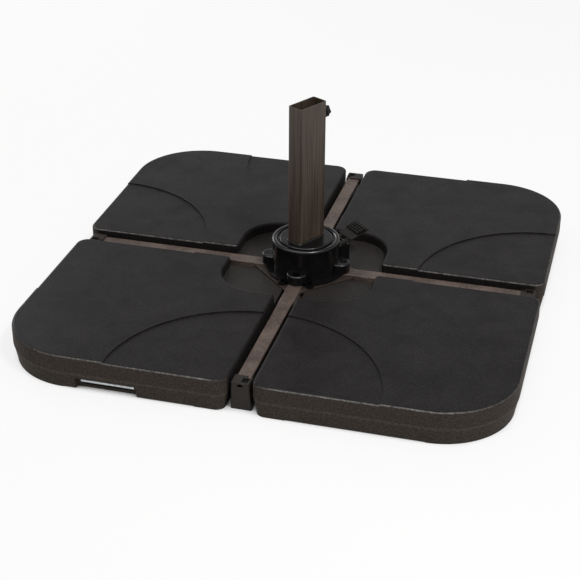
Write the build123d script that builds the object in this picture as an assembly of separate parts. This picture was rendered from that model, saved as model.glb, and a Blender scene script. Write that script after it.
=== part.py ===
from build123d import *
from math import cos, radians, sin, sqrt
import os

# Swivelling cross base for a cantilever parasol: a welded steel cross, four
# concrete-filled weight plates, a round hub with a foot pedal, and the lower mast.
# Units are millimetres. The origin is on the swivel axis at floor level, +Z is up,
# +X runs along the left-to-right tube and +Y along the front-to-back tubes.

# ---- overall ----
span = 1000.0                # across the weight plates
half_span = span / 2

# ---- cross tubes ----
tube_width = 30.0
tube_height = 50.0
tube_wall = 2.0
tube_corner = 3.0            # rounded corners of the drawn tube
tube_bottom = 8.0            # the end caps hold the tubes off the floor
tube_top = tube_bottom + tube_height

# ---- gussets ----
gusset_reach = 108.6         # length of the welded side along each tube
gusset_thickness = 4.0
gusset_drop = 5.0            # below the tops of the tubes
gusset_top = tube_top - gusset_drop
gusset_bottom = gusset_top - gusset_thickness
gusset_sum = gusset_reach + tube_width / 2      # x + y along the slanted edge

# ---- end caps ----
cap_end = half_span - 15.0   # outer face at its top
cap_length = 30.0
cap_toe_in = 6.0             # the outer face leans in towards the floor
cap_top_width = 35.0
cap_foot_width = 41.0
cap_cover = 3.0              # plastic over the top of the tube
cap_socket_depth = 15.0
cap_fit = 0.3
cap_slot_width = 9.0
cap_slot_height = 5.0
cap_notch = 9.0

# ---- weight plates ----
channel = 47.4               # between neighbouring plates
plate_height = 71.5
panel_step = 2.5             # the quarter-round fields lie this much lower
field_radius = 265.0
corner_radius = 150.0        # outer corner
arm_corner_radius = 25.0     # corners beside the tubes
inner_corner_radius = 16.0
edge_round = 5.0             # top edges
parting_height = 36.0
parting_ledge = 0.8
lower_taper = 6.0            # the lower half narrows by this much
foot_height = 2.0
foot_size_outer = 150.0
foot_size_arm = 64.0
pocket_half = 158.0          # rounded square hollow round the hub
pocket_corner = 82.0
pocket_lip = 8.0
pocket_floor = 50.0
corner_gap = 0.3             # the cut corner seats against the gusset
shell_wall = 6.0
shell_floor = 5.0
side_wall = 7.0              # thickness of the outer walls
core_flare = 2.0             # the filling narrows by this much less than the shell
core_gap = 0.3

# ---- carrying handle, one per plate ----
grip_width = 122.0
grip_height = 26.0
grip_depth = 9.0
grip_slot_width = 108.0
grip_slot_bottom = 8.5
grip_slot_height = 13.5
finger_depth = 34.0
finger_height = 30.0
finger_margin = 2.0          # the hollow is narrower than the slot on each side
finger_round = 6.0
handle_diameter = 8.0
handle_height = 14.0
handle_bite = 8.0            # how far each end of the rod sits in the shell
handle_room = 0.5            # clear of the rod's ends
handle_chamfer = 0.8
cut_past = 5.0               # a cutting tool runs this far past the surface it opens
grip_block = 14.0            # solid plastic round the grip
sliding_fit = 0.05

# ---- underside plug ----
plug_radius = 20.0
plug_lip = 3.0
plug_lip_depth = 2.0
plug_short = 1.0             # clear of the filling
plug_sink = 0.2              # below the underside

# ---- hub housing ----
hub_radius = 70.0
hub_wall = 5.0
hub_top = 126.8
rim_inner = 62.5
rim_bead = 4.4               # radius of the round bead that stands round the turntable
rim_depth = 14.0
flange_radius = 83.0
flange_thickness = 5.0
lug_radius = 20.0
lug_centre = 75.0
lug_height = 21.0
lug_round = 3.0
saddle_bolt_at = 81.0
saddle_bolt_diameter = 8.0
ear_x = 29.5
ear_y = 81.0
ear_radius = 8.8
ear_thickness = 7.0
hub_bolt_diameter = 6.0
hub_bolt_flats = 10.0
hub_bolt_head = 4.5
hub_nut_height = 5.0
hub_bolt_tail = 2.0          # thread past the nut
saddle_bolt_flats = 13.0
saddle_bolt_head = 5.0
saddle_bolt_sink = 5.0       # its head sits this deep in the lug
saddle_bolt_reach = 14.0     # below the top of the tube
hole_play = 0.4
tube_notch_play = 0.6

# ---- swivel ----
spindle_radius = 12.0
spindle_stud = 8.0
spindle_stud_length = 18.0
spindle_washer_radius = 14.5
spindle_nut_flats = 24.0
spindle_nut_height = 12.0
washer_margin = 6.0          # the thrust washer ends this far inside the drum
foot_plate_radius = 45.0
foot_plate_thickness = 4.0
washer_thickness = 2.0
disc_radius = 62.0
disc_top = 121.5
disc_thickness = 9.0
disc_round = 2.0
drum_radius = 48.0
drum_shoulder = 54.0
bush_wall = 2.0
bush_flange = 4.0
lower_bush_end = 8.0         # below the floor of the socket's wall
upper_bush_end = 6.0
running_fit = 0.05
ring_radius = 56.0
ring_height = 10.0
ring_bottom = 85.0
ring_notches = 12
notch_depth = 5.0
ring_screw_radius = 50.3
ring_screw_hole = 1.6
ring_screw_shank = 1.5
ring_screw_head = 2.2
ring_screw_head_height = 1.6
ring_screw_reach = 10.0      # above the ring

# ---- mast ----
mast_depth = 74.0
mast_width = 36.0
mast_wall = 2.0
mast_corner = 3.5
mast_angle = 61.0            # direction of its long side
mast_top = 425.0
socket_floor = 90.0
socket_play = 0.4
floor_thickness = 6.0
mast_bolt_diameter = 8.0
mast_bolt_offset = 21.0
mast_bolt_height = 103.0
mast_bolt_seat = 38.0        # from the mast's middle plane
mast_bolt_flats = 13.0
mast_bolt_head = 5.0
mast_nut_height = 6.0
mast_bolt_tail = 1.0

# ---- lock ----
lock_angle = 45.0            # the pedal points between two tubes
pin_diameter = 9.0
pin_height = ring_bottom + ring_height / 2
pin_gap = 0.3                # nose to ring, between two notches
pin_end = 87.0
pin_tail_diameter = 5.0
pin_tail = 7.0
peg_diameter = 4.0
peg_length = 30.0
guide_radius = 8.0
guide_inner = 60.0
spring_wire = 1.2
spring_diameter = 8.8
spring_turns = 5
cup_radius = 6.5
cup_bore = 5.0
cup_end = 103.0
cup_floor = 3.0

# ---- pedal ----
pedal_pivot = 77.0
pedal_pivot_height = 64.0
pedal_pin_radius = 2.5
pedal_pin_head = 4.0
pedal_pin_head_height = 1.6
leg_thickness = 8.0
leg_inner = 8.0              # half the gap between the legs
leg_outer = 18.0
bracket_play = 0.6
bracket_wall = 4.0
bracket_top = 97.0
bracket_corner = 6.0
web_start = 91.0
web_thickness = 3.5
lever_start = 95.5
lever_height = 106.4
lever_slope = 18.0
lever_length = 49.0
lever_width = 45.0
lever_thickness = 4.5
leg_bend = 8.9               # the legs lean outwards from here, below the lever
leg_bend_step = 2.0
leg_elbow = 7.5              # the inside of the bend, behind the lever's end
leg_elbow_drop = 7.6
lever_seat = 3.0             # length of the fork's tip under the lever
lever_seat_drop = 1.8
lever_seat_thickness = 2.1
pivot_boss = 0.8             # round boss of the fork, proud of its legs
lever_corner = 2.5
lever_bevel = 0.6
tread_length = 30.0
tread_base = 2.8
tread_overlap = 0.8          # the pad wraps over the lever's edges
tread_margin = 2.0           # plain rim round the studs
tread_stud = 3.4
tread_pitch = 5.0
tread_stud_height = 1.6

# ---- mast clamp ----
knob_drop = 30.0             # below the top of the mast
knob_height = mast_top - knob_drop
knob_radius = 13.0
knob_lobes = 6
knob_thickness = 11.0
knob_neck = 3.0
knob_collar_ratio = 0.6      # shares of the knob's radius
knob_body_ratio = 0.78
lobe_ratio = 0.32
lobe_place_ratio = 0.68
lobe_bevel = 1.2
stud_radius = 4.0
stud_tip = 3.0               # plastic left over the end of the stud
weld_nut_flats = 13.0
weld_nut_height = 6.0


def box(x0, x1, y0, y1, z0, z1):
    """Block between two corners."""
    size = (x1 - x0, y1 - y0, z1 - z0)
    middle = ((x0 + x1) / 2, (y0 + y1) / 2, (z0 + z1) / 2)
    return Pos(*middle) * Box(*size)


def post(radius, z0, z1, x=0.0, y=0.0):
    """Upright cylinder."""
    return Pos(x, y, (z0 + z1) / 2) * Cylinder(radius, z1 - z0)


def bar_x(radius, x0, x1, y=0.0, z=0.0):
    """Cylinder along X."""
    return Pos((x0 + x1) / 2, y, z) * Rot(0, 90, 0) * Cylinder(radius, x1 - x0)


def bar_y(radius, y0, y1, x=0.0, z=0.0):
    """Cylinder along Y."""
    return Pos(x, (y0 + y1) / 2, z) * Rot(90, 0, 0) * Cylinder(radius, y1 - y0)


def ring(outer, inner, z0, z1, x=0.0, y=0.0):
    """Upright tube or washer."""
    return post(outer, z0, z1, x, y) - post(inner, z0 - 1, z1 + 1, x, y)


def hexagon(across_flats, z0, z1, x=0.0, y=0.0):
    """Hexagonal nut blank or bolt head."""
    outline = RegularPolygon(across_flats / 2, 6, major_radius=False)
    return Pos(x, y, z0) * extrude(outline, amount=z1 - z0)


def turned(angle, shape):
    """Turned about the swivel axis."""
    return Rot(0, 0, angle) * shape


def joined(shapes):
    """Separate solids kept together in one node."""
    return Compound(children=[solid for shape in shapes for solid in shape.solids()])


def save(name, shape):
    os.makedirs("parts", exist_ok=True)
    export_step(shape, os.path.join("parts", name + ".step"))


# ======================= cross =======================

def rect_tube(length, width, height, wall, corner):
    """Rectangular tube along +X from the origin, centred on X."""
    outer = RectangleRounded(width, height, corner)
    inner = RectangleRounded(width - 2 * wall, height - 2 * wall, corner - wall / 2)
    section = Plane.YZ * (outer - inner)
    return extrude(section, amount=length)


def cross_tube(start, end):
    tube = rect_tube(end - start, tube_width, tube_height, tube_wall, tube_corner)
    tube = Pos(start, 0, (tube_bottom + tube_top) / 2) * tube
    for x in (saddle_bolt_at, -saddle_bolt_at):
        if start < x < end:
            tube -= post(saddle_bolt_diameter / 2 + hole_play / 2, tube_top - 2 * tube_wall, tube_top + 1, x)
    return tube


tube_end = cap_end - cap_length + cap_socket_depth
arm_start = tube_width / 2


def gussets():
    inner = tube_width / 2
    triangle = Polyline((inner, inner), (gusset_reach, inner), (inner, gusset_reach), close=True)
    plate = extrude(Pos(0, 0, gusset_bottom) * make_face(triangle), amount=gusset_thickness)
    plates = []
    for i in range(4):
        one = turned(90 * i, plate)
        for x in (-ear_x, ear_x):
            for y in (-ear_y, ear_y):
                one -= post(hub_bolt_diameter / 2 + hole_play / 2, gusset_bottom - 1, gusset_top + 1, x, y)
        plates.append(one)
    return joined(plates)


def end_cap():
    """Cap on the end of a tube that points along +X; it stands on the floor."""
    back = cap_end - cap_length
    top = tube_top + cap_cover
    foot = Pos((back + cap_end - cap_toe_in) / 2, 0, 0) * Rectangle(cap_length - cap_toe_in, cap_foot_width)
    head = Pos((back + cap_end) / 2, 0, top) * Rectangle(cap_length, cap_top_width)
    cap = loft([foot, head])
    upright = [e for e in cap.edges() if e.length > top * 0.9 and e.center().X > back + cap_length / 2]
    cap = fillet(upright, 3.0)
    cap = fillet(cap.faces().sort_by(Axis.Z)[-1].edges(), 1.0)
    half_socket = tube_width / 2 + cap_fit
    cap -= box(back - 1, back + cap_socket_depth + cap_fit, -half_socket, half_socket,
               tube_bottom, tube_top + cap_fit)
    slot_top = top - 4.5
    cap -= box(cap_end - 7, cap_end + 1, -cap_slot_width / 2, cap_slot_width / 2,
               slot_top - cap_slot_height, slot_top)
    cap -= box(back - 1, back + cap_notch, cap_top_width / 2 - cap_notch, cap_top_width / 2 + 1,
               tube_top + cap_fit, top + 1)
    return cap


# ======================= weight plates =======================
# One plate is drawn in the quadrant where x and y are positive, with its handle on
# the +Y wall, and the four plates are quarter turns of it.

near = channel / 2
cut_sum = gusset_sum + corner_gap * sqrt(2)     # x + y along the cut inner corner


def rounded(points, radii):
    """Closed outline with its own radius at each corner."""
    face = make_face(Polyline(*points, close=True))
    for point, radius in zip(points, radii):
        corner = face.vertices().sort_by_distance(Vector(point[0], point[1], 0))[0]
        face = fillet(corner, radius)
    return face


def base_outline(inset):
    """Plate outline with its inner corner cut off for the gusset."""
    low = near + inset
    high = half_span - inset
    cut = cut_sum + inset * sqrt(2) - low
    points = [(low, cut), (low, high), (high, high), (high, low), (cut, low)]
    arm = arm_corner_radius - inset
    radii = [inner_corner_radius, arm, corner_radius - inset, arm, inner_corner_radius]
    return rounded(points, radii)


def top_outline(inset):
    """Plate outline above the hub pocket."""
    low = near + inset
    high = half_span - inset
    edge = pocket_half + inset
    arm = arm_corner_radius - inset
    points = [(low, edge), (low, high), (high, high), (high, low), (edge, low), (edge, edge)]
    radii = [pocket_lip, arm, corner_radius - inset, arm, pocket_lip, pocket_corner + inset]
    return rounded(points, radii)


def slab(outline, z0, z1):
    return extrude(Pos(0, 0, z0) * outline, amount=z1 - z0)


def round_top(shape, z):
    edges = shape.edges().filter_by_position(Axis.Z, z - 0.01, z + 0.01)
    return fillet(edges, edge_round)


def grip_centre():
    return (near + half_span) / 2


def plate_form():
    """Outside form of a plate, without handle recess or plug hole."""
    under = Pos(0, 0, foot_height) * base_outline(parting_ledge + lower_taper)
    middle = Pos(0, 0, parting_height) * base_outline(parting_ledge)
    form = loft([under, middle], ruled=True)
    form += slab(base_outline(0), parting_height, pocket_floor)
    low_top = plate_height - panel_step
    form += round_top(slab(top_outline(0), pocket_floor, low_top), low_top)
    panel_base = low_top - edge_round - 2
    panel = round_top(slab(top_outline(0), panel_base, plate_height), plate_height)
    for x, y in ((half_span, 0), (0, half_span)):
        panel -= post(field_radius, panel_base - 1, plate_height + 1, x, y)
    form += panel
    return form + plate_feet()


def plate_feet():
    """Low pads under the four corners."""
    sole = slab(base_outline(parting_ledge + lower_taper), 0, foot_height)
    low = near
    high = half_span
    pads = [
        box(high - foot_size_outer, high, high - foot_size_outer, high, -1, foot_height),
        box(low, low + foot_size_arm, high - foot_size_arm, high, -1, foot_height),
        box(high - foot_size_arm, high, low, low + foot_size_arm, -1, foot_height),
        box(low, low + 2 * foot_size_arm, low, low + 2 * foot_size_arm, -1, foot_height),
    ]
    feet = sole & pads[0]
    for pad in pads[1:]:
        feet += sole & pad
    return feet


def core_form(gap):
    """Hollow of the shell; with a gap it is the concrete filling."""
    floor_z = foot_height + shell_floor + gap
    side = side_wall + gap
    lower_side = side + lower_taper - core_flare
    under_pocket = pocket_floor - shell_wall - gap
    top = plate_height - panel_step - shell_wall - gap
    core = loft([Pos(0, 0, floor_z) * base_outline(lower_side), Pos(0, 0, parting_height) * base_outline(side)],
                ruled=True)
    core += slab(base_outline(side), parting_height, under_pocket)
    core += slab(top_outline(side), under_pocket, top)
    half_block = grip_width / 2 + grip_block + gap
    middle = grip_centre()
    core -= box(middle - half_block, middle + half_block,
                half_span - shell_wall - finger_depth - grip_block - gap, half_span,
                -1, finger_height + shell_wall + gap)
    return core


def wall_y(z):
    """Where the outer wall of the lower half stands at height z."""
    share = (parting_height - z) / (parting_height - foot_height)
    return half_span - parting_ledge - lower_taper * share


handle_y = wall_y(handle_height) - grip_depth - handle_diameter / 2 - handle_room


def grip_recess():
    """Recess, slot and finger hollow of the handle, as one cutting tool."""
    middle = grip_centre()
    x0 = middle - grip_width / 2
    face_top = wall_y(grip_height) - grip_depth
    face_bottom = wall_y(-1) - grip_depth
    profile = Polyline((half_span + cut_past, -1), (half_span + cut_past, grip_height), (face_top, grip_height),
                       (face_bottom, -1), close=True)
    side = Plane(origin=(x0, 0, 0), x_dir=(0, 1, 0), z_dir=(1, 0, 0)) * make_face(profile)
    recess = extrude(side, amount=grip_width)
    fingers_y = handle_y - handle_diameter / 2
    slot_plane = Plane(origin=(middle, fingers_y - cut_past, grip_slot_bottom + grip_slot_height / 2),
                       x_dir=(1, 0, 0), z_dir=(0, 1, 0))
    slot = extrude(slot_plane * SlotOverall(grip_slot_width, grip_slot_height),
                   amount=half_span - fingers_y + 2 * cut_past)
    half_fingers = grip_slot_width / 2 - finger_margin
    fingers = box(middle - half_fingers, middle + half_fingers,
                  fingers_y - finger_depth, fingers_y, -1, finger_height)
    fingers = fillet(fingers.edges().filter_by(Axis.X).sort_by(Axis.Z)[-2:], finger_round)
    return recess + slot + fingers


def handle_length():
    return grip_slot_width + 2 * handle_bite


def plate_shell():
    shell = plate_form() - grip_recess()
    middle = grip_centre()
    reach = handle_length() / 2 + handle_room
    shell -= bar_x(handle_diameter / 2 + sliding_fit, middle - reach, middle + reach, handle_y, handle_height)
    shell -= core_form(0)
    shell -= post(plug_radius, 0, foot_height + shell_floor + plug_short, middle, middle)
    shell -= post(plug_radius + plug_lip, 0, foot_height + plug_lip_depth, middle, middle)
    return shell


def plate_handle():
    middle = grip_centre()
    half = handle_length() / 2
    rod = bar_x(handle_diameter / 2, middle - half, middle + half, handle_y, handle_height)
    return chamfer(rod.edges(), handle_chamfer)


def plate_plug():
    middle = grip_centre()
    lip_top = foot_height + plug_lip_depth
    neck_top = foot_height + shell_floor
    plug = post(plug_radius - cap_fit, lip_top - plug_short / 2, neck_top, middle, middle)
    plug += post(plug_radius + plug_lip - cap_fit, foot_height + plug_sink, lip_top, middle, middle)
    return plug


# ======================= hub housing =======================

def revolved(points):
    """Solid of revolution about Z from a radius and height profile."""
    return revolve(Plane.XZ * make_face(Polyline(*points, close=True)), Axis.Z)


def saddle_lug():
    """Round-nosed lug over the tube that points along +X."""
    end = lug_centre
    lug = box(hub_radius - hub_wall / 2, end, -lug_radius, lug_radius, tube_top, tube_top + lug_height)
    lug += post(lug_radius, tube_top, tube_top + lug_height, end)
    rim = lug.faces().sort_by(Axis.Z)[-1].edges().filter_by(lambda e: e.center().X > hub_radius)
    lug = fillet(rim, lug_round)
    return lug


def lock_bracket():
    """Cheeks, web and spring cup of the pedal's bracket, along +X."""
    inner = leg_outer + bracket_play
    outer = inner + bracket_wall
    start = hub_radius - hub_wall
    end = web_start + web_thickness
    cheek = box(start, end, inner, outer, tube_top - 0.5, bracket_top)
    corner = cheek.edges().filter_by(Axis.Y).sort_by(lambda e: e.center().X + e.center().Z)[-1]
    cheek = fillet(corner, bracket_corner)
    bracket = cheek + mirror(cheek, Plane.XZ)
    bracket += box(web_start, end, -outer, outer, tube_top - 0.5, pin_height + cup_radius - 1)
    bracket += box(start, end, -outer, outer, gusset_top, tube_top)
    bracket += bar_x(cup_radius, web_start, cup_end, 0, pin_height)
    bracket += bar_x(guide_radius, guide_inner, hub_radius - 0.5, 0, pin_height)
    return bracket


def lock_bores():
    bores = bar_x(pin_diameter / 2 + running_fit, guide_inner - 1, hub_radius + 1, 0, pin_height)
    bores += bar_x(cup_bore, web_start - 1, cup_end - cup_floor, 0, pin_height)
    side = leg_outer + bracket_play + bracket_wall
    bores += bar_y(pedal_pin_radius + sliding_fit, -side - 1, side + 1, pedal_pivot, pedal_pivot_height)
    return bores


def hub_housing():
    inner = hub_radius - hub_wall
    rim_foot = hub_top - rim_depth
    bead_height = hub_top - rim_bead
    body = revolved([
        (inner, gusset_top), (flange_radius, gusset_top), (flange_radius, gusset_top + flange_thickness),
        (hub_radius, gusset_top + flange_thickness), (hub_radius, bead_height), (rim_inner, bead_height),
        (rim_inner, rim_foot), (inner, rim_foot - 4),
    ])
    bead = Plane.XZ * Pos(rim_inner + rim_bead, bead_height) * Circle(rim_bead)
    body += revolve(bead, Axis.Z)
    for i in range(4):
        body += turned(90 * i, saddle_lug())
    for x in (-ear_x, ear_x):
        for y in (-ear_y, ear_y):
            body += post(ear_radius, gusset_top, gusset_top + ear_thickness, x, y)
    body += turned(lock_angle, lock_bracket())
    guide = bar_x(guide_radius, guide_inner, hub_radius, 0, pin_height)
    body -= post(inner, gusset_top - 1, rim_foot - 4) - turned(lock_angle, guide)
    body -= turned(lock_angle, lock_bores())
    half = tube_width / 2 + tube_notch_play
    reach = flange_radius + ear_radius
    body -= box(-reach, reach, -half, half, gusset_top - 1, tube_top)
    body -= box(-half, half, -reach, reach, gusset_top - 1, tube_top)
    for i in range(4):
        bore = post(saddle_bolt_diameter / 2 + hole_play / 2, 0, hub_top, saddle_bolt_at)
        seat = tube_top + lug_height - saddle_bolt_sink
        sink = post(saddle_bolt_diameter, seat, tube_top + lug_height + 1, saddle_bolt_at)
        body -= turned(90 * i, bore + sink)
    for x in (-ear_x, ear_x):
        for y in (-ear_y, ear_y):
            body -= post(hub_bolt_diameter / 2 + hole_play / 2, 0, hub_top, x, y)
    return body


def bolt(diameter, head_flats, head_height, z_tip, z_seat, x, y):
    """Hexagon bolt pointing down, its head resting at z_seat."""
    shank = post(diameter / 2, z_tip, z_seat, x, y)
    head = hexagon(head_flats, z_seat, z_seat + head_height, x, y)
    return shank + head


def ear_places():
    return [(x, y) for x in (-ear_x, ear_x) for y in (-ear_y, ear_y)]


def housing_bolts():
    seat = gusset_top + ear_thickness
    tip = gusset_bottom - hub_nut_height - hub_bolt_tail
    return joined([bolt(hub_bolt_diameter, hub_bolt_flats, hub_bolt_head, tip, seat, x, y)
                   for x, y in ear_places()])


def housing_nuts():
    nuts = []
    for x, y in ear_places():
        nut = hexagon(hub_bolt_flats, gusset_bottom - hub_nut_height, gusset_bottom, x, y)
        nuts.append(nut - post(hub_bolt_diameter / 2 + sliding_fit, 0, tube_top, x, y))
    return joined(nuts)


def saddle_bolts():
    seat = tube_top + lug_height - saddle_bolt_sink
    tip = tube_top - saddle_bolt_reach
    one = bolt(saddle_bolt_diameter, saddle_bolt_flats, saddle_bolt_head, tip, seat, saddle_bolt_at, 0)
    return joined([turned(90 * i, one) for i in range(4)])


# ======================= swivel =======================

washer_top = tube_top + foot_plate_thickness + washer_thickness
bush_radius = spindle_radius + running_fit + bush_wall
drum_floor = socket_floor - floor_thickness
ring_top = ring_bottom + ring_height
ring_screw_angles = [mast_angle + 45 + 90 * i for i in range(4)]     # between notches


def spindle():
    post_top = socket_floor
    foot = post(foot_plate_radius, tube_top, tube_top + foot_plate_thickness)
    axle = post(spindle_radius, tube_top, post_top)
    stud = post(spindle_stud, tube_top, post_top + spindle_stud_length)
    return chamfer((foot + axle + stud).edges().sort_by(Axis.Z)[-1], 1.0)


def turntable():
    points = [
        (0, washer_top + bush_flange / 2), (drum_radius, washer_top + bush_flange / 2),
        (drum_radius, ring_top), (drum_shoulder, ring_top),
        (drum_shoulder, disc_top - disc_thickness), (disc_radius, disc_top - disc_thickness),
        (disc_radius, disc_top), (0, disc_top),
    ]
    body = revolved(points)
    edge = [e for e in body.edges().filter_by(GeomType.CIRCLE)
            if abs(e.radius - disc_radius) < 0.01 and e.arc_center.Z > disc_top - 1]
    body = fillet(edge, disc_round)
    socket = RectangleRounded(mast_depth + 2 * socket_play, mast_width + 2 * socket_play, mast_corner)
    body -= turned(mast_angle, slab(socket, socket_floor, disc_top + 1))
    body -= post(bush_radius + running_fit, 0, socket_floor + 1)
    body -= post(bush_radius + bush_flange + running_fit, socket_floor - bush_flange / 2, socket_floor + 1)
    for side in (-1, 1):
        hole = bar_y(mast_bolt_diameter / 2 + hole_play / 2, -disc_radius, disc_radius,
                     side * mast_bolt_offset, mast_bolt_height)
        seats = bar_y(mast_bolt_diameter, mast_bolt_seat, disc_radius, side * mast_bolt_offset,
                      mast_bolt_height)
        seats += mirror(seats, Plane.XZ)
        seats &= post(disc_radius + 1, ring_top, disc_top - disc_thickness)
        body -= turned(mast_angle, hole + seats)
    for angle in ring_screw_angles:
        hole = post(ring_screw_hole, ring_bottom, ring_top + ring_screw_reach + 2, ring_screw_radius)
        body -= turned(angle, hole)
    return body


def detent_ring():
    body = ring(ring_radius, drum_radius + running_fit, ring_bottom, ring_top)
    half = pin_diameter / 2 + hole_play
    for i in range(ring_notches):
        notch = box(ring_radius - notch_depth, ring_radius + 5, -half, half, ring_bottom - 1, ring_top + 1)
        body -= turned(mast_angle + 360 / ring_notches * i, notch)
    for angle in ring_screw_angles:
        body -= turned(angle, post(ring_screw_hole, 0, hub_top, ring_screw_radius))
    return body


def detent_screws():
    shank = post(ring_screw_shank, ring_bottom, ring_top + ring_screw_reach, ring_screw_radius)
    head = post(ring_screw_head, ring_bottom - ring_screw_head_height, ring_bottom, ring_screw_radius)
    return joined([turned(angle, shank + head) for angle in ring_screw_angles])


def thrust_washer():
    return ring(drum_radius - washer_margin, spindle_radius + 1, tube_top + foot_plate_thickness, washer_top)


def flanged_bush(z0, z1, flange_z):
    """Plain bush on the spindle; its flange starts at flange_z."""
    body = ring(bush_radius, spindle_radius + running_fit, z0, z1)
    body += ring(bush_radius + bush_flange, spindle_radius + running_fit,
                 flange_z, flange_z + bush_flange / 2)
    return body


def spindle_washer():
    return ring(spindle_washer_radius, spindle_stud + running_fit,
                socket_floor, socket_floor + washer_thickness)


def spindle_nut():
    seat = socket_floor + washer_thickness
    nut = hexagon(spindle_nut_flats, seat, seat + spindle_nut_height)
    return nut - post(spindle_stud + running_fit, seat - 1, seat + spindle_nut_height + 1)


def mast_tube():
    outer = RectangleRounded(mast_depth, mast_width, mast_corner)
    inner = RectangleRounded(mast_depth - 2 * mast_wall, mast_width - 2 * mast_wall,
                             mast_corner - mast_wall / 2)
    body = slab(outer - inner, socket_floor, mast_top)
    for side in (-1, 1):
        body -= bar_y(mast_bolt_diameter / 2 + hole_play / 2, -mast_width, mast_width,
                      side * mast_bolt_offset, mast_bolt_height)
    body -= bar_x(stud_radius + hole_play, 0, mast_depth, 0, knob_height)
    return turned(mast_angle, body)


def cross_bolt(x):
    """Bolt through the mast's narrow way, its head on the +Y side."""
    seat = mast_bolt_seat
    tip = seat + mast_nut_height + mast_bolt_tail
    shank = bar_y(mast_bolt_diameter / 2, -tip, seat, x, mast_bolt_height)
    head = bar_y(mast_bolt_flats / 2, seat, seat + mast_bolt_head, x, mast_bolt_height)
    return shank + head


def mast_bolts():
    return joined([turned(mast_angle, cross_bolt(x)) for x in (-mast_bolt_offset, mast_bolt_offset)])


def mast_nuts():
    nuts = []
    for x in (-mast_bolt_offset, mast_bolt_offset):
        outline = RegularPolygon(mast_bolt_flats / 2, 6, major_radius=False)
        plane = Plane(origin=(x, -mast_bolt_seat, mast_bolt_height), x_dir=(1, 0, 0), z_dir=(0, -1, 0))
        nut = extrude(plane * outline, amount=mast_nut_height)
        nut -= bar_y(mast_bolt_diameter / 2 + sliding_fit, -disc_radius, 0, x, mast_bolt_height)
        nuts.append(turned(mast_angle, nut))
    return joined(nuts)


# ======================= lock and pedal =======================
# Drawn with the pedal pointing along +X, then turned to its own angle.

pin_nose = ring_radius + pin_gap
leg_face = pedal_pivot + leg_thickness / 2
peg_at = leg_face + peg_diameter / 2 + pin_gap


def lock_pin():
    pin = bar_x(pin_diameter / 2, pin_nose, pin_end, 0, pin_height)
    pin = chamfer(pin.edges().sort_by(Axis.X)[0], 1.0)
    pin += bar_x(pin_tail_diameter / 2, pin_end - 1, pin_end + pin_tail, 0, pin_height)
    pin -= bar_y(peg_diameter / 2 + sliding_fit, -10, 10, peg_at, pin_height)
    return turned(lock_angle, pin)


def lock_peg():
    return turned(lock_angle, bar_y(peg_diameter / 2, -peg_length / 2, peg_length / 2, peg_at, pin_height))


def lock_spring():
    start = pin_end + spring_wire / 2 + 0.2
    length = cup_end - cup_floor - spring_wire / 2 - 0.2 - start
    coil_radius = (spring_diameter - spring_wire) / 2
    path = Helix(pitch=length / spring_turns, height=length, radius=coil_radius)
    section = Plane(origin=path @ 0, z_dir=path % 0) * Circle(spring_wire / 2)
    coil = sweep(section, path=path, is_frenet=True)
    return turned(lock_angle, Pos(start, 0, pin_height) * Rot(0, 90, 0) * coil)


def lever_plane():
    """On top of the lever at its inner end, x up the slope."""
    slope = radians(lever_slope)
    return Plane(origin=(lever_start, 0, lever_height), x_dir=(cos(slope), 0, sin(slope)),
                 z_dir=(-sin(slope), 0, cos(slope)))


def pedal():
    back = pedal_pivot - leg_thickness / 2
    bend = lever_height - leg_bend
    tip = lever_height - lever_seat_drop
    side = make_face(Polyline(
        (back, pedal_pivot_height), (back, bend), (lever_start + lever_seat, tip),
        (lever_start + lever_seat, tip - lever_seat_thickness),
        (lever_start - leg_elbow, lever_height - leg_elbow_drop),
        (leg_face, bend - leg_bend_step), (leg_face, pedal_pivot_height), close=True))
    fork = extrude(Plane.XZ.offset(leg_outer) * side, amount=-2 * leg_outer)
    fork += bar_y(leg_thickness / 2 + pivot_boss, -leg_outer, leg_outer, pedal_pivot, pedal_pivot_height)
    fork -= box(0, lever_start, -leg_inner, leg_inner, 0, hub_top)
    blade = box(0, lever_length, -lever_width / 2, lever_width / 2, -lever_thickness, 0)
    blade = fillet(blade.edges().filter_by(Axis.Z), lever_corner)
    blade = chamfer(blade.faces().sort_by(Axis.Z)[-1].edges(), lever_bevel)
    body = fork + lever_plane().location * blade
    body -= bar_y(pedal_pin_radius + running_fit, -2 * leg_outer, 2 * leg_outer,
                  pedal_pivot, pedal_pivot_height)
    return turned(lock_angle, body)


def pedal_tread():
    """Ribbed pad on the outer part of the lever."""
    start = lever_length - tread_length
    side = lever_width / 2 + tread_overlap
    pad = box(start, lever_length + tread_overlap, -side, side, 0, tread_base)
    pad = fillet(pad.edges().filter_by(Axis.Z), lever_corner)
    columns = int((tread_length - tread_margin) / tread_pitch)
    rows = int((lever_width - tread_margin) / tread_pitch)
    grid = GridLocations(tread_pitch, tread_pitch, columns, rows)
    middle = Pos(start + tread_length / 2, 0, tread_base + tread_stud_height / 2)
    for place in grid:
        pad += middle * place * Box(tread_stud, tread_stud, tread_stud_height)
    return turned(lock_angle, lever_plane().location * pad)


def pedal_pin():
    side = leg_outer + bracket_play + bracket_wall
    pin = bar_y(pedal_pin_radius, -side, side, pedal_pivot, pedal_pivot_height)
    head = bar_y(pedal_pin_head, -side - pedal_pin_head_height, -side, pedal_pivot, pedal_pivot_height)
    return turned(lock_angle, pin + head)


# ======================= mast clamp =======================
# On the narrow back wall of the mast, drawn with the wall facing +X.

wall_face = mast_depth / 2
knob_start = wall_face + weld_nut_height + pin_gap


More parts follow.
